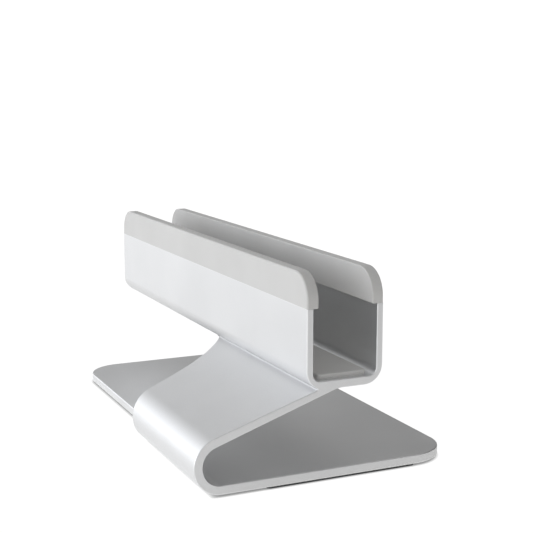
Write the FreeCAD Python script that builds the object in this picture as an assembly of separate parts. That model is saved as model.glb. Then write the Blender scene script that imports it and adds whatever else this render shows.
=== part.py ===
import FreeCAD, Part
import math
import os

# Vertical laptop stand: one aluminium body (plate, fold, rising neck and U-channel), two silicone
# lip caps, a silicone floor pad and two rubber foot strips. Millimetres, +Z up.
# Origin: bottom centre of the whole object. +X: the end where the fold and neck are flush with the
# channel. +Y: the back, where the plate reaches out furthest.

# Overall
LENGTH = 250.5              # channel, end to end along X
DEPTH = 125.1               # front of the fold to the back edge of the plate
HEIGHT = 90.2               # supporting surface to the top of the lip caps
FLUSH_X = LENGTH / 2        # plane that all the flush ends share
FRONT_Y = -DEPTH / 2        # front of the fold

# Plate, fold and neck
PLATE_T = 4.0
PLATE_LENGTH = 210.5
PLATE_FRONT_Y = FRONT_Y + 13.4
PLATE_CORNER_R = 19.0
FOOT_HEIGHT = 1.0           # the plate's underside stands this far above the surface
FOLD_R = 12.4               # outer radius of the fold
NECK_TOP_DEG = 17.7         # rise of the neck's upper face
NECK_UNDER_DEG = 18.5       # rise of its lower face: the neck thins a little towards the channel
NECK_WIDTH = 80.0           # along X, at the front of the fold
FLARE_DEG = 17.0            # the neck's free side first leaves the Y direction by this angle
FLARE_START = 26.4          # distance behind the fold's front where the concave flare begins
FLARE_R = 57.0
FLARE_END_DEG = 65.0        # the arc ends under the channel and runs on straight
UNDER_BLEND_R = 15.0        # blend between the neck's and the channel's undersides

# Channel
WALL_T = 3.0
FLOOR_T = 3.8
SLOT_W = 30.4               # wall to wall
SLOT_FLOOR_Z = 44.0
CHANNEL_FRONT_Y = FRONT_Y + 51.0
CHANNEL_OUTER_R = 8.5
CHANNEL_INNER_R = 3.5
FREE_END_R = 6.0            # lower corner of the channel's overhanging end
SHOULDER_Z = 75.4           # full wall thickness below, thin tongue above

# Lip caps
CAP_CORNER_R = 12.0         # upper corners, seen from the front
CAP_SKIN = 1.2              # outer leg, flush with the wall
CAP_CROWN = 1.8             # over the top and round the ends of the tongue
CAP_PROUD = 2.4             # inner leg, standing into the slot
CAP_OUTER_ROUND = 0.9
CAP_INNER_ROUND = 0.5

# Pads and feet
FILM_T = 0.2                # double-sided adhesive film
FLOOR_PAD_T = 2.0
FLOOR_PAD_END_MARGIN = 2.6
FLOOR_PAD_SIDE_MARGIN = 3.5 # clear of the channel's inner corner radius
FLOOR_PAD_R = 2.0
FLOOR_PAD_ROUND = 0.6
STRIP_W = 12.0              # along X
STRIP_L = 72.0              # along Y, centred on the plate
STRIP_INSET = 0.6           # from the plate's end
STRIP_R = 2.0

# Derived places
PLATE_BACK_Y = DEPTH / 2
PLATE_TOP_Z = FOOT_HEIGHT + PLATE_T
PLATE_END_X = FLUSH_X - PLATE_LENGTH
FOLD_Y = FRONT_Y + FOLD_R
FOLD_Z = FOOT_HEIGHT + FOLD_R
CHANNEL_BOTTOM_Z = SLOT_FLOOR_Z - FLOOR_T
SLOT_MID_Y = CHANNEL_FRONT_Y + WALL_T + SLOT_W / 2
CHANNEL_W = SLOT_W + 2 * WALL_T


def vec(x, y, z):
    return FreeCAD.Vector(x, y, z)


def profile_face(points):
    """Face in a YZ plane. Each point is (y, z); a middle point of an arc is (y, z, "arc")."""
    edges = []
    start = points[0]
    index = 1
    while index <= len(points):
        point = points[index % len(points)]
        if len(point) == 3:
            end = points[(index + 1) % len(points)]
            edges.append(Part.Arc(vec(0, *start), vec(0, *point[:2]), vec(0, *end)).toShape())
            index += 2
        else:
            end = point
            edges.append(Part.LineSegment(vec(0, *start), vec(0, *end)).toShape())
            index += 1
        start = end
    return Part.Face(Part.Wire(edges))


def rounded_slab(x0, x1, y0, y1, z0, z1, radius):
    """Upright slab with all four vertical corners rounded."""
    slab = Part.makeBox(x1 - x0, y1 - y0, z1 - z0, vec(x0, y0, z0))
    upright = [edge for edge in slab.Edges if abs(edge.tangentAt(edge.FirstParameter).z) > 0.99]
    return slab.makeFillet(radius, upright)


def arc_point(centre, radius, degrees):
    angle = math.radians(degrees)
    return (centre[0] + radius * math.cos(angle), centre[1] + radius * math.sin(angle))


def plate():
    """Base plate: three rounded corners; the fourth runs into the fold."""
    slab = Part.makeBox(PLATE_LENGTH, PLATE_BACK_Y - PLATE_FRONT_Y, PLATE_T,
                        vec(PLATE_END_X, PLATE_FRONT_Y, FOOT_HEIGHT))
    corners = []
    for edge in slab.Edges:
        middle = edge.CenterOfMass
        upright = abs(edge.tangentAt(edge.FirstParameter).z) > 0.99
        if upright and (middle.x < 0 or middle.y > 0):
            corners.append(edge)
    return slab.makeFillet(PLATE_CORNER_R, corners)


def neck_profile():
    """Section of the front of the plate, the fold and the neck, up into the channel's floor."""
    fold = (FOLD_Y, FOLD_Z)
    inner_r = FOLD_R - PLATE_T
    top_end = arc_point(fold, FOLD_R, 90 + NECK_TOP_DEG)
    under_end = arc_point(fold, inner_r, 90 + NECK_UNDER_DEG)
    inside_z = CHANNEL_BOTTOM_Z + FLOOR_T / 2

    top_run = (inside_z - top_end[1]) / math.tan(math.radians(NECK_TOP_DEG))
    top_corner = (top_end[0] + top_run, inside_z)
    under_run = (CHANNEL_BOTTOM_Z - under_end[1]) / math.tan(math.radians(NECK_UNDER_DEG))
    under_corner_y = under_end[0] + under_run
    blend = UNDER_BLEND_R * math.tan(math.radians(NECK_UNDER_DEG / 2))
    blend_centre = (under_corner_y + blend, CHANNEL_BOTTOM_Z - UNDER_BLEND_R)

    lap_y = PLATE_FRONT_Y + PLATE_CORNER_R
    return profile_face([
        (lap_y, FOOT_HEIGHT),
        (FOLD_Y, FOOT_HEIGHT),
        (*arc_point(fold, FOLD_R, 180), "arc"),
        top_end,
        top_corner,
        (blend_centre[0], inside_z),
        (blend_centre[0], CHANNEL_BOTTOM_Z),
        (*arc_point(blend_centre, UNDER_BLEND_R, 90 + NECK_UNDER_DEG / 2), "arc"),
        arc_point(blend_centre, UNDER_BLEND_R, 90 + NECK_UNDER_DEG),
        under_end,
        (*arc_point(fold, inner_r, 180), "arc"),
        (FOLD_Y, PLATE_TOP_Z),
        (lap_y, PLATE_TOP_Z),
    ])


def neck_outline():
    """Plan of the neck as an upright prism: its free side leans out, then flares to the channel."""
    lean = math.radians(FLARE_DEG)
    corner = (FLUSH_X - NECK_WIDTH, FRONT_Y)
    start = (corner[0] - FLARE_START * math.tan(lean), FRONT_Y + FLARE_START)
    centre = (start[0] - FLARE_R * math.cos(lean), start[1] - FLARE_R * math.sin(lean))
    middle = arc_point(centre, FLARE_R, (FLARE_DEG + FLARE_END_DEG) / 2)
    end = arc_point(centre, FLARE_R, FLARE_END_DEG)
    back_y = CHANNEL_FRONT_Y + CHANNEL_W
    tail = (end[0] - (back_y - end[1]) * math.tan(math.radians(FLARE_END_DEG)), back_y)

    def at(point):
        return vec(point[0], point[1], 0)

    edges = [
        Part.LineSegment(at((FLUSH_X, FRONT_Y)), at(corner)).toShape(),
        Part.LineSegment(at(corner), at(start)).toShape(),
        Part.Arc(at(start), at(middle), at(end)).toShape(),
        Part.LineSegment(at(end), at(tail)).toShape(),
        Part.LineSegment(at(tail), at((FLUSH_X, back_y))).toShape(),
        Part.LineSegment(at((FLUSH_X, back_y)), at((FLUSH_X, FRONT_Y))).toShape(),
    ]
    return Part.Face(Part.Wire(edges)).extrude(vec(0, 0, HEIGHT))


def neck():
    sweep = neck_profile().extrude(vec(LENGTH, 0, 0))
    sweep.translate(vec(-FLUSH_X, 0, 0))
    return sweep.common(neck_outline())


def elevation_slab(x_margin, z_low, z_high, corner_r, y0, y1):
    """Slab standing in an XZ plane with its two upper corners rounded."""
    x1 = FLUSH_X - x_margin
    slab = Part.makeBox(2 * x1, y1 - y0, z_high - z_low, vec(-x1, y0, z_low))
    corners = []
    for edge in slab.Edges:
        along_y = abs(edge.tangentAt(edge.FirstParameter).y) > 0.99
        if along_y and edge.CenterOfMass.z > z_high - 0.01:
            corners.append(edge)
    return slab.makeFillet(corner_r, corners)


def tongue(y0):
    """Thin upper edge of a wall, which its cap grips; y0 is the tongue's lower-Y face."""
    return elevation_slab(CAP_CROWN, SHOULDER_Z - WALL_T, HEIGHT - CAP_CROWN, CAP_CORNER_R - CAP_CROWN,
                          y0, y0 + WALL_T - CAP_SKIN)


def channel():
    """U-channel up to its shoulders, with a tongue on each wall."""
    outer = Part.makeBox(LENGTH, CHANNEL_W, SHOULDER_Z - CHANNEL_BOTTOM_Z,
                         vec(-FLUSH_X, CHANNEL_FRONT_Y, CHANNEL_BOTTOM_Z))
    outer = outer.makeFillet(CHANNEL_OUTER_R, low_long_edges(outer))
    slot = Part.makeBox(LENGTH, SLOT_W, HEIGHT,
                        vec(-FLUSH_X, CHANNEL_FRONT_Y + WALL_T, SLOT_FLOOR_Z))
    slot = slot.makeFillet(CHANNEL_INNER_R, low_long_edges(slot))
    trough = outer.cut(slot).cut(free_end_corner())
    front = tongue(CHANNEL_FRONT_Y + CAP_SKIN)
    return trough.fuse([front, mirrored(front)])


def low_long_edges(box):
    low_z = box.BoundBox.ZMin
    found = []
    for edge in box.Edges:
        along_x = abs(edge.tangentAt(edge.FirstParameter).x) > 0.99
        if along_x and edge.CenterOfMass.z < low_z + 0.01:
            found.append(edge)
    return found


def free_end_corner():
    """What the rounded lower corner of the channel's overhanging end takes away."""
    block = Part.makeBox(FREE_END_R, CHANNEL_W, FREE_END_R,
                         vec(-FLUSH_X, CHANNEL_FRONT_Y, CHANNEL_BOTTOM_Z))
    round_bar = Part.makeCylinder(FREE_END_R, CHANNEL_W,
                                  vec(-FLUSH_X + FREE_END_R, CHANNEL_FRONT_Y,
                                      CHANNEL_BOTTOM_Z + FREE_END_R), vec(0, 1, 0))
    return block.cut(round_bar)


def mirrored(shape):
    """Mirror image across the slot's middle plane."""
    return shape.mirror(vec(0, SLOT_MID_Y, 0), vec(0, 1, 0))


def stand_body():
    body = plate().fuse([neck(), channel()]).removeSplitter()
    return body.Solids[0] if len(body.Solids) == 1 else body


def lip_cap():
    """Silicone cap on the front wall: an inverted U that swells into the slot."""
    outer_y = CHANNEL_FRONT_Y
    inner_y = CHANNEL_FRONT_Y + WALL_T + CAP_PROUD
    cap = elevation_slab(0, SHOULDER_Z, HEIGHT, CAP_CORNER_R, outer_y, inner_y)
    cap = cap.makeFillet(CAP_OUTER_ROUND, rim_edges(cap, outer_y, SHOULDER_Z))
    cap = cap.makeFillet(CAP_INNER_ROUND, rim_edges(cap, inner_y, 0))
    return cap.cut(tongue(CHANNEL_FRONT_Y + CAP_SKIN))


def rim_edges(shape, y, above_z):
    """Edges that lie in the plane at y, leaving out those at or below above_z."""
    found = []
    for edge in shape.Edges:
        box = edge.BoundBox
        in_plane = abs(box.YMin - y) < 0.01 and abs(box.YMax - y) < 0.01
        if in_plane and box.ZMax > above_z + 0.01:
            found.append(edge)
    return found


def floor_pad_slab(z0, z1, radius):
    half = SLOT_W / 2 - FLOOR_PAD_SIDE_MARGIN
    x1 = FLUSH_X - FLOOR_PAD_END_MARGIN
    return rounded_slab(-x1, x1, SLOT_MID_Y - half, SLOT_MID_Y + half, z0, z1, radius)


def slot_floor_pad():
    low_z = SLOT_FLOOR_Z + FILM_T
    pad = floor_pad_slab(low_z, low_z + FLOOR_PAD_T, FLOOR_PAD_R)
    top = [edge for edge in pad.Edges if edge.BoundBox.ZMin > low_z + FLOOR_PAD_T - 0.01]
    return pad.makeFillet(FLOOR_PAD_ROUND, top)


def slot_pad_film():
    return floor_pad_slab(SLOT_FLOOR_Z, SLOT_FLOOR_Z + FILM_T, FLOOR_PAD_R)


def foot_slab(x0, z0, z1):
    middle_y = (PLATE_FRONT_Y + PLATE_BACK_Y) / 2
    return rounded_slab(x0, x0 + STRIP_W, middle_y - STRIP_L / 2, middle_y + STRIP_L / 2,
                        z0, z1, STRIP_R)


def write(name, shape):
    if not shape.isValid() or len(shape.Solids) != 1:
        raise ValueError(name + " is not one valid solid")
    shape.exportStep("parts/" + name + ".step")
    print(name, round(shape.Volume / 1000, 3), "cm3")


def main():
    os.makedirs("parts", exist_ok=True)
    front_cap = lip_cap()
    write("stand_body", stand_body())
    write("front_lip_cap", front_cap)
    write("back_lip_cap", mirrored(front_cap))
    write("slot_floor_pad", slot_floor_pad())
    write("slot_pad_film", slot_pad_film())
    strips = {
        "flush_end": FLUSH_X - STRIP_INSET - STRIP_W,
        "free_end": PLATE_END_X + STRIP_INSET,
    }
    rubber_top_z = FOOT_HEIGHT - FILM_T
    for end, x0 in strips.items():
        write(end + "_foot_strip", foot_slab(x0, 0, rubber_top_z))
        write(end + "_foot_film", foot_slab(x0, rubber_top_z, FOOT_HEIGHT))


main()
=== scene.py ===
import math

import bmesh
import bpy
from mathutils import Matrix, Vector


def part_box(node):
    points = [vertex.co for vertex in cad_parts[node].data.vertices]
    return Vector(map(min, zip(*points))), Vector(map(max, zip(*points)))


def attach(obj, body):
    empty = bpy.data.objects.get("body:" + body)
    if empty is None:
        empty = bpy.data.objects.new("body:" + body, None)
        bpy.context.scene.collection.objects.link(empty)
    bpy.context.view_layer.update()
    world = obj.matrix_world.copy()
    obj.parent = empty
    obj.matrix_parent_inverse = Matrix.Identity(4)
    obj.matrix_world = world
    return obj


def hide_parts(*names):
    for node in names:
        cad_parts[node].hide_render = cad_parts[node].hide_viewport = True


# A vertical laptop stand in bead-blasted aluminium with silicone lip caps, on a white studio floor.
# Blender's metres, in the CAD model's frame: +X is the end where the fold is flush with the channel,
# +Y the back. Lengths below are in millimetres, and MM turns them into metres.

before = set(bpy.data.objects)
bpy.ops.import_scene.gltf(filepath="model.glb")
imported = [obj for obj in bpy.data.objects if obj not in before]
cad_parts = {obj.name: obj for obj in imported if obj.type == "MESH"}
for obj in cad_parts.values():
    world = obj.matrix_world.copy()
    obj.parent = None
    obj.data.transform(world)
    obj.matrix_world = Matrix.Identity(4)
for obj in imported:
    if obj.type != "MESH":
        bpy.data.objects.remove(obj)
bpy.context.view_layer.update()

MM = 0.001

# The metal body, as the CAD model builds it
PLATE_T = 4.0
PLATE_LENGTH = 210.5
PLATE_FRONT = 13.4          # behind the front of the fold
PLATE_CORNER_R = 19.0
FOOT_HEIGHT = 1.0
FOLD_R = 12.4
NECK_TOP_DEG = 17.7
NECK_UNDER_DEG = 18.5
NECK_WIDTH = 80.0
FLARE_DEG = 17.0
FLARE_START = 26.4
FLARE_R = 57.0
FLARE_END_DEG = 65.0
UNDER_BLEND_R = 15.0
WALL_T = 3.0
FLOOR_T = 3.8
SLOT_W = 30.4
SLOT_FLOOR_Z = 44.0
CHANNEL_FRONT = 51.0        # behind the front of the fold
CHANNEL_OUTER_R = 8.5
CHANNEL_INNER_R = 3.5
FREE_END_R = 6.0
SHOULDER_Z = 75.4

# Caps, floor pad and feet
CAP_CORNER_R = 12.0
CAP_SKIN = 1.2
CAP_CROWN = 1.8
CAP_OUTER_ROUND = 0.9
CAP_INNER_ROUND = 0.5
PAD_R = 2.0
PAD_ROUND = 0.6
STRIP_R = 2.0
STRIP_ROUND = 0.2

# Broken edges and filled creases of the body
EDGE_BREAK = 0.4            # bright bevel on every machined edge
SEAM_BREAK = 0.15           # where a wall's shoulder meets its cap
LEAST_FILL = 0.05           # where the neck's underside runs out to nothing under the channel
CREASE_FILL = 0.8           # root of the inside corners
FRONT_CREASE_FILL = 1.3     # root of the groove between the neck and the front wall
EDGE_SEGMENTS = 3
# The bevels and the filled creases take a lighter material: partly painted highlight on the broken edges,
# only painted highlight in the creases
BRIGHT_SLOT = 1             # the body's second material, which the bevels take

# Steps along each arc
FOLD_STEPS = 64
FLARE_STEPS = 32
BLEND_STEPS = 8
CORNER_STEPS = 32           # corners of the plate and of the caps
CHANNEL_STEPS = 20
SLOT_STEPS = 12
PAD_STEPS = 12

# Mesh work
OVERCUT = 10.0              # how far a cutting solid runs past what it cuts
CAP_OVERCUT = 1.0           # the same for the groove in a cap
FLARE_MARGIN = 10.0         # the flare's edges lie less than this inside the neck's width
TOUCH = 0.01                # places closer than this are the same place
MERGE = 0.002               # points closer than this are one point
SLIVER = 0.005              # faces narrower than this are left out
FLAT_DEG = 0.2              # neighbours that turn less than this are one flat face
FACE_MARGIN = 0.5           # edges nearer than this to an outside face of the channel lie on it
BOTTOM_MARGIN = 0.05        # edges nearer than this to the channel's bottom lie on it
SHARP_DEG = 30.0            # edges that turn more than this can be broken
SMOOTH_DEG = 35.0           # edges that turn less than this are shaded smooth

# Studio light: strengths of the surround, and where its softbox stands
SOFTBOX_AZIMUTH = 252.7     # degrees from +X towards +Y
SOFTBOX_FOCUS = 2.17
SOFTBOX_LIGHT = 2.62
SOFTBOX_DROOP = 1.8         # how quickly it dims towards the zenith
CEILING_LIGHT = 0.685       # straight overhead
CEILING_EDGE = 0.45         # sine of the elevation where the ceiling's light begins
WARM_LIGHT = (1.0, 0.992, 0.978, 1)
COOL_LIGHT = (0.976, 1.0, 1.045, 1)

# Studio floor
FLOOR_REACH = 6.0           # metres from the middle to each side
FLOOR_GLOW = 0.52
SEEN_WHITE = 1.05           # strength of the floor and background that the camera sees
# Painted contact shadow: to the camera the floor is painted darker by ambient occlusion where a gap over
# it is low
PAINTED_SHADOW_REACH = 2.0         # a gap lower than this over the floor looks dark
PAINTED_SHADOW_STRENGTH = 0.28        # strength of the floor in the darkest gap
PAINTED_SHADOW_DARKEST_OPENNESS = 0.25         # open share of the floor's surroundings in the darkest gap
PAINTED_SHADOW_CLEAR_OPENNESS = 0.9         # and where the floor is white again

# Camera
CAMERA_PLACE = (0.5426, -0.2205, 0.1728)    # metres
CAMERA_YAW = 155.481        # degrees from +X towards +Y
CAMERA_PITCH = -9.634
CAMERA_LENS = 77.62
CAMERA_SENSOR = 36.0

# Places read from the frame
body_low, body_high = [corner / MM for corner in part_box("stand_body")]
cap_low, cap_high = [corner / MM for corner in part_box("front_lip_cap")]
FLUSH_X = body_high.x
FREE_X = body_low.x
FRONT_Y = body_low.y
BACK_Y = body_high.y
TOP_Z = cap_high.z
CAP_T = cap_high.y - cap_low.y
CHANNEL_Y = FRONT_Y + CHANNEL_FRONT
CHANNEL_BACK_Y = CHANNEL_Y + SLOT_W + 2 * WALL_T
CHANNEL_BOTTOM_Z = SLOT_FLOOR_Z - FLOOR_T
PLATE_TOP_Z = FOOT_HEIGHT + PLATE_T
PLATE_END_X = FLUSH_X - PLATE_LENGTH
PLATE_Y = FRONT_Y + PLATE_FRONT
FOLD_CENTRE = (FRONT_Y + FOLD_R, FOOT_HEIGHT + FOLD_R)
FOLD_INNER_R = FOLD_R - PLATE_T


# ---------------------------------------------------------------- outlines and solids

def on_circle(centre, radius, degrees):
    angle = math.radians(degrees)
    return (centre[0] + radius * math.cos(angle), centre[1] + radius * math.sin(angle))


def arc(centre, radius, start, end, steps):
    """Points of an arc, both ends included; angles in degrees."""
    return [on_circle(centre, radius, start + (end - start) * i / steps) for i in range(steps + 1)]


def rounded_rectangle(x0, x1, y0, y1, radii, steps):
    """Outline with a radius for each corner, in the order low-low, high-low, high-high, low-high."""
    corners = [(x0, y0, 1, 1, 180), (x1, y0, -1, 1, 270), (x1, y1, -1, -1, 0), (x0, y1, 1, -1, 90)]
    outline = []
    for (x, y, sx, sy, start), radius in zip(corners, radii):
        if radius == 0:
            outline.append((x, y))
        else:
            centre = (x + sx * radius, y + sy * radius)
            outline += arc(centre, radius, start, start + 90, steps)
    return outline


def place(axis, point, along):
    """A 2-D outline point and its distance along an axis, as a vector in metres."""
    a, b = point
    by_axis = {"X": (along, a, b), "Y": (a, along, b), "Z": (a, b, along)}
    return Vector(by_axis[axis]) * MM


def prism(name, axis, outline, low, high):
    """Closed solid: an outline pushed along an axis from low to high."""
    bm = bmesh.new()
    ends = [[bm.verts.new(place(axis, point, along)) for point in outline] for along in (low, high)]
    for ring in ends:
        bm.faces.new(ring)
    count = len(outline)
    for i in range(count):
        j = (i + 1) % count
        bm.faces.new((ends[0][i], ends[0][j], ends[1][j], ends[1][i]))
    bmesh.ops.recalc_face_normals(bm, faces=bm.faces)
    mesh = bpy.data.meshes.new(name)
    bm.to_mesh(mesh)
    bm.free()
    solid = bpy.data.objects.new(name, mesh)
    bpy.context.scene.collection.objects.link(solid)
    return solid


def settle(solid):
    """Applies the object's modifiers to its mesh."""
    depsgraph = bpy.context.evaluated_depsgraph_get()
    mesh = bpy.data.meshes.new_from_object(solid.evaluated_get(depsgraph))
    solid.modifiers.clear()
    solid.data = mesh


def combine(solid, tool, operation):
    modifier = solid.modifiers.new("combine", "BOOLEAN")
    modifier.operation = operation
    modifier.solver = "EXACT"
    modifier.object = tool
    settle(solid)
    bpy.data.objects.remove(tool)


def clean(solid):
    """Joins flat neighbours into one face and drops the boolean's spare points."""
    bm = bmesh.new()
    bm.from_mesh(solid.data)
    bmesh.ops.remove_doubles(bm, verts=bm.verts, dist=MERGE * MM)
    bmesh.ops.dissolve_limit(bm, angle_limit=math.radians(FLAT_DEG), verts=bm.verts, edges=bm.edges)
    bmesh.ops.recalc_face_normals(bm, faces=bm.faces)
    bm.to_mesh(solid.data)
    bm.free()


def weld(solid):
    """Merges points that a bevel leaves almost on top of each other, and the slivers between them."""
    bm = bmesh.new()
    bm.from_mesh(solid.data)
    bmesh.ops.remove_doubles(bm, verts=bm.verts, dist=SLIVER * MM)
    bmesh.ops.dissolve_degenerate(bm, dist=SLIVER * MM, edges=bm.edges)
    bm.to_mesh(solid.data)
    bm.free()


def is_sharp(edge):
    return edge.is_manifold and edge.calc_face_angle(0) > math.radians(SHARP_DEG)


def bevel_where(solid, chosen, width, segments):
    """Rounds the sharp edges that chosen(edge) accepts."""
    bm = bmesh.new()
    bm.from_mesh(solid.data)
    edges = [edge for edge in bm.edges if is_sharp(edge) and chosen(edge)]
    bmesh.ops.bevel(bm, geom=edges, offset=width * MM, segments=segments, profile=0.5,
                    affect="EDGES", clamp_overlap=False)
    bm.to_mesh(solid.data)
    bm.free()


def shade(solid):
    """Smooth curves, flat flats and sharp corners."""
    solid.data.shade_smooth()
    solid.data.set_sharp_from_angle(angle=math.radians(SMOOTH_DEG))
    weighted = solid.modifiers.new("weighted", "WEIGHTED_NORMAL")
    weighted.keep_sharp = True
    settle(solid)


def finish_piece(piece, node):
    shade(piece)
    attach(piece, "root")
    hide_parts(node)


# ---------------------------------------------------------------- the metal body

def neck_under_z(y):
    """Height of the neck's lower face, or of its line run on, at a distance along Y."""
    start = on_circle(FOLD_CENTRE, FOLD_INNER_R, 90 + NECK_UNDER_DEG)
    return start[1] + (y - start[0]) * math.tan(math.radians(NECK_UNDER_DEG))


def neck_profile():
    """The end of the plate, the fold and the neck in the YZ plane."""
    inside_z = CHANNEL_BOTTOM_Z + FLOOR_T / 2
    top_end = on_circle(FOLD_CENTRE, FOLD_R, 90 + NECK_TOP_DEG)
    under_end = on_circle(FOLD_CENTRE, FOLD_INNER_R, 90 + NECK_UNDER_DEG)
    top_run = (inside_z - top_end[1]) / math.tan(math.radians(NECK_TOP_DEG))
    under_run = (CHANNEL_BOTTOM_Z - under_end[1]) / math.tan(math.radians(NECK_UNDER_DEG))
    blend_y = under_end[0] + under_run + UNDER_BLEND_R * math.tan(math.radians(NECK_UNDER_DEG / 2))
    blend = (blend_y, CHANNEL_BOTTOM_Z - UNDER_BLEND_R)
    lap_y = PLATE_Y + PLATE_CORNER_R
    return (
        [(lap_y, FOOT_HEIGHT)]
        + arc(FOLD_CENTRE, FOLD_R, 270, 90 + NECK_TOP_DEG, FOLD_STEPS)
        + [(top_end[0] + top_run, inside_z), (blend_y, inside_z)]
        + arc(blend, UNDER_BLEND_R, 90, 90 + NECK_UNDER_DEG, BLEND_STEPS)
        + arc(FOLD_CENTRE, FOLD_INNER_R, 90 + NECK_UNDER_DEG, 270, FOLD_STEPS)
        + [(lap_y, PLATE_TOP_Z)]
    )


def neck_outline():
    """The neck from above: straight at the flush end, with a concave flare on the other side."""
    lean = math.radians(FLARE_DEG)
    corner = (FLUSH_X - NECK_WIDTH, FRONT_Y)
    start = (corner[0] - FLARE_START * math.tan(lean), FRONT_Y + FLARE_START)
    centre = (start[0] - FLARE_R * math.cos(lean), start[1] - FLARE_R * math.sin(lean))
    flare = arc(centre, FLARE_R, FLARE_DEG, FLARE_END_DEG, FLARE_STEPS)
    lean_out = (corner[0] + OVERCUT * math.tan(lean), FRONT_Y - OVERCUT)
    tail_x = flare[-1][0] - (CHANNEL_BACK_Y - flare[-1][1]) * math.tan(math.radians(FLARE_END_DEG))
    return (
        [(FLUSH_X + OVERCUT, FRONT_Y - OVERCUT), lean_out]
        + flare
        + [(tail_x, CHANNEL_BACK_Y), (FLUSH_X + OVERCUT, CHANNEL_BACK_Y)]
    )


def channel_section():
    """The U in the YZ plane, up to its shoulders."""
    y0, y1 = CHANNEL_Y, CHANNEL_BACK_Y
    z0 = CHANNEL_BOTTOM_Z
    r, q = CHANNEL_OUTER_R, CHANNEL_INNER_R
    inner0, inner1 = y0 + WALL_T, y1 - WALL_T
    return (
        [(y0, SHOULDER_Z)]
        + arc((y0 + r, z0 + r), r, 180, 270, CHANNEL_STEPS)
        + arc((y1 - r, z0 + r), r, 270, 360, CHANNEL_STEPS)
        + [(y1, SHOULDER_Z), (inner1, SHOULDER_Z)]
        + arc((inner1 - q, SLOT_FLOOR_Z + q), q, 360, 270, SLOT_STEPS)
        + arc((inner0 + q, SLOT_FLOOR_Z + q), q, 270, 180, SLOT_STEPS)
        + [(inner0, SHOULDER_Z)]
    )


def free_end_corner():
    """What rounds the channel's lower free corner when it is cut away, in the XZ plane."""
    r = FREE_END_R
    return (
        [(FREE_X - r, CHANNEL_BOTTOM_Z - r), (FREE_X + r, CHANNEL_BOTTOM_Z - r)]
        + arc((FREE_X + r, CHANNEL_BOTTOM_Z + r), r, 270, 180, CHANNEL_STEPS)
        + [(FREE_X - r, CHANNEL_BOTTOM_Z + r)]
    )


def elevation(margin, z_low, z_high, corner_r):
    """Outline in the XZ plane with its two upper corners rounded."""
    return rounded_rectangle(FREE_X + margin, FLUSH_X - margin, z_low, z_high,
                             (0, 0, corner_r, corner_r), CORNER_STEPS)


def tongue(y0, z_low):
    outline = elevation(CAP_CROWN, z_low, TOP_Z - CAP_CROWN, CAP_CORNER_R - CAP_CROWN)
    return prism("tongue", "Y", outline, y0, y0 + WALL_T - CAP_SKIN)


def stand_body():
    plate_radii = (PLATE_CORNER_R, 0, PLATE_CORNER_R, PLATE_CORNER_R)
    plate = rounded_rectangle(PLATE_END_X, FLUSH_X, PLATE_Y, BACK_Y, plate_radii, CORNER_STEPS)
    body = prism("bent_body", "Z", plate, FOOT_HEIGHT, PLATE_TOP_Z)
    neck = prism("neck", "X", neck_profile(), FREE_X, FLUSH_X)
    combine(neck, prism("neck_outline", "Z", neck_outline(), -OVERCUT, SHOULDER_Z), "INTERSECT")
    channel = prism("channel", "X", channel_section(), FREE_X, FLUSH_X)
    corner_low, corner_high = CHANNEL_Y - FREE_END_R, CHANNEL_BACK_Y + FREE_END_R
    combine(channel, prism("corner", "Y", free_end_corner(), corner_low, corner_high), "DIFFERENCE")
    combine(body, neck, "UNION")
    combine(body, channel, "UNION")
    tongue_root = SHOULDER_Z - WALL_T / 2
    combine(body, tongue(CHANNEL_Y + CAP_SKIN, tongue_root), "UNION")
    combine(body, tongue(CHANNEL_BACK_Y - WALL_T, tongue_root), "UNION")
    clean(body)
    return body


def shoulder_width(edge, middle):
    """Breaks a shoulder's edge where it shows: along the outside faces and across the ends."""
    inside = CHANNEL_Y + FACE_MARGIN < middle.y < CHANNEL_BACK_Y - FACE_MARGIN
    at_end = min(abs(middle.x - FREE_X), abs(middle.x - FLUSH_X)) < TOUCH
    return SEAM_BREAK if at_end or (edge.is_convex and not inside) else 0.0


def crease_width(middle):
    """Fills a crease. Where the neck's side runs out under the channel, by a third of it at most."""
    over_bottom = middle.z - CHANNEL_BOTTOM_Z
    fill = FRONT_CREASE_FILL if over_bottom > BOTTOM_MARGIN else CREASE_FILL
    beside_flare = middle.x < FLUSH_X - NECK_WIDTH + FLARE_MARGIN
    if over_bottom > -BOTTOM_MARGIN and beside_flare:
        side_height = CHANNEL_BOTTOM_Z - neck_under_z(middle.y)
        return max(LEAST_FILL, min(fill, side_height / 3))
    return fill


def body_edge_width(edge):
    """How wide an edge of the body is broken or filled, in millimetres."""
    a, b = [vert.co / MM for vert in edge.verts]
    middle = (a + b) / 2
    if not is_sharp(edge) or max(a.z, b.z) > SHOULDER_Z + TOUCH:
        return 0.0
    if middle.z > SHOULDER_Z - TOUCH:
        return shoulder_width(edge, middle)
    return EDGE_BREAK if edge.is_convex else crease_width(middle)


def break_body_edges(body):
    widest = max(EDGE_BREAK, SEAM_BREAK, CREASE_FILL, FRONT_CREASE_FILL)
    bm = bmesh.new()
    bm.from_mesh(body.data)
    weight = bm.edges.layers.float.new("bevel_weight_edge")
    for edge in bm.edges:
        edge[weight] = body_edge_width(edge) / widest
    bm.to_mesh(body.data)
    bm.free()
    bevel = body.modifiers.new("broken_edges", "BEVEL")
    bevel.limit_method = "WEIGHT"
    bevel.offset_type = "OFFSET"
    bevel.width = widest * MM
    bevel.segments = EDGE_SEGMENTS
    bevel.miter_outer = "MITER_ARC"
    bevel.use_clamp_overlap = False
    # Painted highlight in part: every bevel, crease fills included, takes the lighter edge material
    bevel.material = BRIGHT_SLOT
    settle(body)
    weld(body)


# ---------------------------------------------------------------- caps, floor pad and feet

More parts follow.
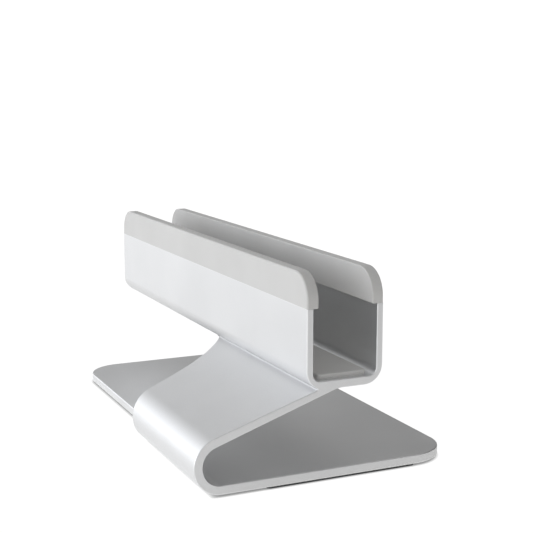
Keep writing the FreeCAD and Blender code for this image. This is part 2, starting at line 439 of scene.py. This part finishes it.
def lip_cap(name, outer_y, direction):
    """Cap on one wall: direction is +1 where the slot lies towards +Y of the wall."""
    inner_y = outer_y + direction * CAP_T
    low_y, high_y = sorted((outer_y, inner_y))
    cap = prism(name, "Y", elevation(0, SHOULDER_Z, TOP_Z, CAP_CORNER_R), low_y, high_y)

    def in_plane(edge, y):
        return all(abs(vert.co.y / MM - y) < TOUCH for vert in edge.verts)

    def low(edge):
        return all(vert.co.z / MM < SHOULDER_Z + TOUCH for vert in edge.verts)

    bevel_where(cap, lambda e: in_plane(e, outer_y) and not low(e), CAP_OUTER_ROUND, segments=6)
    bevel_where(cap, lambda e: in_plane(e, inner_y), CAP_INNER_ROUND, segments=4)
    tongue_y = outer_y + CAP_SKIN if direction > 0 else outer_y - WALL_T
    combine(cap, tongue(tongue_y, SHOULDER_Z - CAP_OVERCUT), "DIFFERENCE")
    clean(cap)
    return cap


def slab(name, node, corner_r):
    """Rounded slab that fills a CAD node's box."""
    low, high = [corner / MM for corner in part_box(node)]
    outline = rounded_rectangle(low.x, high.x, low.y, high.y, (corner_r,) * 4, PAD_STEPS)
    return prism(name, "Z", outline, low.z, high.z)


def round_face(solid, z, width, segments):
    """Rounds the edges of the slab's flat face at a height given in metres."""
    bevel_where(solid, lambda e: all(abs(vert.co.z - z) < TOUCH * MM for vert in e.verts), width, segments)


# ---------------------------------------------------------------- materials

def new_material(name):
    material = bpy.data.materials.new(name)
    material.use_nodes = True
    tree = material.node_tree
    return tree, tree.nodes["Principled BSDF"], material


def pattern(tree, kind, scale):
    """A procedural texture on object coordinates."""
    node = tree.nodes.new(kind)
    position = tree.nodes.new("ShaderNodeTexCoord").outputs["Object"]
    tree.links.new(position, node.inputs["Vector"])
    node.inputs["Scale"].default_value = scale
    return node


def noise(tree, scale, detail, roughness):
    node = pattern(tree, "ShaderNodeTexNoise", scale)
    node.inputs["Detail"].default_value = detail
    node.inputs["Roughness"].default_value = roughness
    return node.outputs["Fac"]


def remap(tree, value, low, high, from_low=0.3, from_high=0.7):
    """Stretches a value to a new range. Noise mostly lies between 0.3 and 0.7."""
    node = tree.nodes.new("ShaderNodeMapRange")
    tree.links.new(value, node.inputs["Value"])
    node.inputs["From Min"].default_value = from_low
    node.inputs["From Max"].default_value = from_high
    node.inputs["To Min"].default_value = low
    node.inputs["To Max"].default_value = high
    return node.outputs["Result"]


def mix_colours(tree, factor, blend="MIX"):
    node = tree.nodes.new("ShaderNodeMix")
    node.data_type = "RGBA"
    node.blend_type = blend
    if isinstance(factor, float):
        node.inputs["Factor"].default_value = factor
    else:
        tree.links.new(factor, node.inputs["Factor"])
    return node


def two_tone(tree, factor, dark, light):
    mix = mix_colours(tree, factor)
    mix.inputs["A"].default_value = (*dark[:3], 1)
    mix.inputs["B"].default_value = (*light[:3], 1)
    return mix.outputs["Result"]


def mottled(tree, value, dark, light):
    """Two tones that follow a noise over its whole range."""
    return two_tone(tree, remap(tree, value, 0.0, 1.0), dark, light)


def bump(tree, height, distance, strength, under=None):
    """Small relief, its distance in metres, over another one if that is given."""
    node = tree.nodes.new("ShaderNodeBump")
    node.inputs["Distance"].default_value = distance
    node.inputs["Strength"].default_value = strength
    tree.links.new(height, node.inputs["Height"])
    if under is not None:
        tree.links.new(under, node.inputs["Normal"])
    return node.outputs["Normal"]


def blasted_aluminium():
    """Fine bead-blast pits under a clear anodised skin, with faint cloudy variation."""
    tree, shader, material = new_material("blasted_aluminium")
    clouds = noise(tree, scale=22.0, detail=3.0, roughness=0.55)
    grain = noise(tree, scale=5200.0, detail=2.0, roughness=0.6)
    pits = pattern(tree, "ShaderNodeTexVoronoi", 3400.0).outputs["Distance"]
    cloudy = mottled(tree, clouds, (0.765, 0.77, 0.775), (0.80, 0.803, 0.806))
    grainy = mottled(tree, grain, (0.93, 0.93, 0.93), (1.0, 1.0, 1.0))
    speckle = mix_colours(tree, 1.0, "MULTIPLY")
    tree.links.new(cloudy, speckle.inputs["A"])
    tree.links.new(grainy, speckle.inputs["B"])
    tree.links.new(speckle.outputs["Result"], shader.inputs["Base Color"])
    tree.links.new(remap(tree, clouds, 0.44, 0.50), shader.inputs["Roughness"])
    coarse = bump(tree, pits, distance=0.00002, strength=0.35)
    fine = bump(tree, grain, distance=0.00001, strength=0.5, under=coarse)
    tree.links.new(fine, shader.inputs["Normal"])
    shader.inputs["Metallic"].default_value = 1.0
    return material


def edge_break_with_painted_highlight():
    """The bright edge break: the same metal, cut after blasting, so smoother and a little lighter, the
    lighter colour partly painted highlight; the filled creases take it too, as painted highlight only.
    """
    tree, shader, material = new_material("edge_break_with_painted_highlight")
    grain = noise(tree, scale=3600.0, detail=2.0, roughness=0.5)
    # Lighter than the blasted faces: partly painted highlight
    tones = mottled(tree, grain, (0.82, 0.825, 0.835), (0.87, 0.875, 0.88))
    tree.links.new(tones, shader.inputs["Base Color"])
    tree.links.new(remap(tree, grain, 0.36, 0.42), shader.inputs["Roughness"])
    tree.links.new(bump(tree, grain, distance=0.000004, strength=0.2), shader.inputs["Normal"])
    shader.inputs["Metallic"].default_value = 1.0
    return material


def silicone():
    """Warm light grey moulded silicone: matt, very slightly translucent, with a fine moulded grain."""
    tree, shader, material = new_material("grey_silicone")
    clouds = noise(tree, scale=35.0, detail=3.0, roughness=0.5)
    grain = noise(tree, scale=4200.0, detail=3.0, roughness=0.65)
    tones = mottled(tree, clouds, (0.568, 0.563, 0.55), (0.60, 0.595, 0.581))
    tree.links.new(tones, shader.inputs["Base Color"])
    tree.links.new(remap(tree, grain, 0.52, 0.64), shader.inputs["Roughness"])
    tree.links.new(bump(tree, grain, distance=0.00003, strength=0.35), shader.inputs["Normal"])
    shader.inputs["Subsurface Weight"].default_value = 0.12
    shader.inputs["Subsurface Radius"].default_value = (0.0012, 0.0011, 0.001)
    shader.inputs["Subsurface Scale"].default_value = 1.0
    shader.inputs["Sheen Weight"].default_value = 0.08
    shader.inputs["Sheen Roughness"].default_value = 0.5
    shader.inputs["IOR"].default_value = 1.41
    return material


def foot_rubber():
    """Dark grey die-cut rubber strip with an open, slightly gritty skin."""
    tree, shader, material = new_material("foot_rubber")
    grit = noise(tree, scale=3000.0, detail=4.0, roughness=0.7)
    clouds = noise(tree, scale=60.0, detail=2.0, roughness=0.5)
    tones = mottled(tree, clouds, (0.045, 0.046, 0.048), (0.07, 0.071, 0.074))
    tree.links.new(tones, shader.inputs["Base Color"])
    tree.links.new(remap(tree, grit, 0.65, 0.85), shader.inputs["Roughness"])
    tree.links.new(bump(tree, grit, distance=0.00005, strength=0.5), shader.inputs["Normal"])
    return material


def adhesive():
    """Milky double-sided film, with faint trapped-air mottling."""
    tree, shader, material = new_material("adhesive_film")
    mottle = noise(tree, scale=900.0, detail=3.0, roughness=0.6)
    tones = mottled(tree, mottle, (0.62, 0.62, 0.60), (0.78, 0.78, 0.76))
    tree.links.new(tones, shader.inputs["Base Color"])
    tree.links.new(remap(tree, mottle, 0.35, 0.5), shader.inputs["Roughness"])
    return material


# ---------------------------------------------------------------- the pieces

body = stand_body()
body.data.materials.append(blasted_aluminium())
body.data.materials.append(edge_break_with_painted_highlight())
break_body_edges(body)
finish_piece(body, "stand_body")

soft_grey = silicone()
for name, node, outer_y, direction in (
    ("front_cap_moulding", "front_lip_cap", CHANNEL_Y, 1),
    ("back_cap_moulding", "back_lip_cap", CHANNEL_BACK_Y, -1),
):
    cap = lip_cap(name, outer_y, direction)
    cap.data.materials.append(soft_grey)
    finish_piece(cap, node)

pad = slab("floor_pad_moulding", "slot_floor_pad", PAD_R)
round_face(pad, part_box("slot_floor_pad")[1].z, PAD_ROUND, segments=5)
pad.data.materials.append(soft_grey)
finish_piece(pad, "slot_floor_pad")

rubber = foot_rubber()
for end in ("flush_end", "free_end"):
    node = end + "_foot_strip"
    strip = slab(end + "_foot", node, STRIP_R)
    round_face(strip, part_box(node)[0].z, STRIP_ROUND, segments=3)
    strip.data.materials.append(rubber)
    finish_piece(strip, node)

film = adhesive()
for node in ("slot_pad_film", "flush_end_foot_film", "free_end_foot_film"):
    for material_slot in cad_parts[node].material_slots:
        material_slot.material = film


# ---------------------------------------------------------------- studio

def split_for_camera(tree, lit, seen, output):
    """Light rays meet one shader and the camera another."""
    mix = tree.nodes.new("ShaderNodeMixShader")
    is_camera = tree.nodes.new("ShaderNodeLightPath").outputs["Is Camera Ray"]
    tree.links.new(is_camera, mix.inputs["Fac"])
    tree.links.new(lit, mix.inputs[1])
    tree.links.new(seen, mix.inputs[2])
    tree.links.new(mix.outputs["Shader"], output.inputs["Surface"])


def white_paper():
    """Pale floor whose light falls on the object; to the camera it is burnt out, with a painted contact
    shadow in tight gaps.
    """
    tree, shader, material = new_material("white_sweep")
    paper = noise(tree, scale=400.0, detail=3.0, roughness=0.6)
    tones = two_tone(tree, paper, (0.60, 0.60, 0.60), (0.62, 0.62, 0.62))
    tree.links.new(tones, shader.inputs["Base Color"])
    shader.inputs["Roughness"].default_value = 0.9
    shader.inputs["Specular IOR Level"].default_value = 0.1
    shader.inputs["Emission Color"].default_value = WARM_LIGHT
    shader.inputs["Emission Strength"].default_value = FLOOR_GLOW
    # Painted shadow: ambient occlusion dims the floor emission that the camera sees, under and beside the
    # object
    painted_shadow_occlusion = tree.nodes.new("ShaderNodeAmbientOcclusion")
    painted_shadow_occlusion.inputs["Distance"].default_value = PAINTED_SHADOW_REACH * MM
    strength = remap(tree, painted_shadow_occlusion.outputs["AO"], PAINTED_SHADOW_STRENGTH, SEEN_WHITE, PAINTED_SHADOW_DARKEST_OPENNESS, PAINTED_SHADOW_CLEAR_OPENNESS)
    seen_with_painted_shadow = tree.nodes.new("ShaderNodeEmission")
    tree.links.new(strength, seen_with_painted_shadow.inputs["Strength"])
    split_for_camera(tree, shader.outputs["BSDF"], seen_with_painted_shadow.outputs["Emission"],
                     tree.nodes["Material Output"])
    return material


def floor_sheet():
    bm = bmesh.new()
    bmesh.ops.create_grid(bm, x_segments=8, y_segments=8, size=FLOOR_REACH)
    mesh = bpy.data.meshes.new("studio_floor")
    bm.to_mesh(mesh)
    bm.free()
    mesh.materials.append(white_paper())
    floor = bpy.data.objects.new("studio_floor", mesh)
    bpy.context.scene.collection.objects.link(floor)


def node_math(tree, operation, *values):
    """A maths node; each value is a number or another node's output."""
    node = tree.nodes.new("ShaderNodeMath")
    node.operation = operation
    for socket, value in zip(node.inputs, values):
        if isinstance(value, (int, float)):
            socket.default_value = value
        else:
            tree.links.new(value, socket)
    return node.outputs["Value"]


def studio_world():
    """Soft surround: one broad softbox at the front, a paler ceiling, and a dim back."""
    world = bpy.data.worlds.new("studio")
    bpy.context.scene.world = world
    world.use_nodes = True
    tree = world.node_tree
    background = tree.nodes["Background"]
    direction = tree.nodes.new("ShaderNodeTexCoord").outputs["Generated"]
    split = tree.nodes.new("ShaderNodeSeparateXYZ")
    tree.links.new(direction, split.inputs["Vector"])
    height = split.outputs["Z"]
    facing = tree.nodes.new("ShaderNodeVectorMath")
    facing.operation = "DOT_PRODUCT"
    tree.links.new(direction, facing.inputs[0])
    azimuth = math.radians(SOFTBOX_AZIMUTH)
    facing.inputs[1].default_value = (math.cos(azimuth), math.sin(azimuth), 0)
    spread = node_math(tree, "MULTIPLY_ADD", facing.outputs["Value"], 0.5, 0.5)
    spread = node_math(tree, "POWER", node_math(tree, "MAXIMUM", spread, 0.0), SOFTBOX_FOCUS)
    level = node_math(tree, "SUBTRACT", 1.0, node_math(tree, "MULTIPLY", height, height))
    level = node_math(tree, "POWER", level, SOFTBOX_DROOP)
    softbox = node_math(tree, "MULTIPLY", node_math(tree, "MULTIPLY", spread, level), SOFTBOX_LIGHT)
    ceiling = remap(tree, height, 0.0, CEILING_LIGHT, CEILING_EDGE, 1.0)
    tree.links.new(node_math(tree, "ADD", softbox, ceiling), background.inputs["Strength"])
    tree.links.new(two_tone(tree, spread, WARM_LIGHT, COOL_LIGHT), background.inputs["Color"])
    seen = tree.nodes.new("ShaderNodeBackground")
    seen.inputs["Color"].default_value = (1, 1, 1, 1)
    seen.inputs["Strength"].default_value = SEEN_WHITE
    split_for_camera(tree, background.outputs["Background"], seen.outputs["Background"],
                     tree.nodes["World Output"])


def studio_camera():
    camera_data = bpy.data.cameras.new("camera")
    camera_data.lens = CAMERA_LENS
    camera_data.sensor_width = CAMERA_SENSOR
    camera = bpy.data.objects.new("camera", camera_data)
    bpy.context.scene.collection.objects.link(camera)
    camera.location = CAMERA_PLACE
    yaw, pitch = math.radians(CAMERA_YAW), math.radians(CAMERA_PITCH)
    aim = Vector((math.cos(yaw) * math.cos(pitch), math.sin(yaw) * math.cos(pitch), math.sin(pitch)))
    camera.rotation_euler = aim.to_track_quat("-Z", "Y").to_euler()
    bpy.context.scene.camera = camera


floor_sheet()
studio_world()
studio_camera()

bpy.context.scene.view_settings.view_transform = "Standard"
bpy.context.scene.view_settings.look = "None"
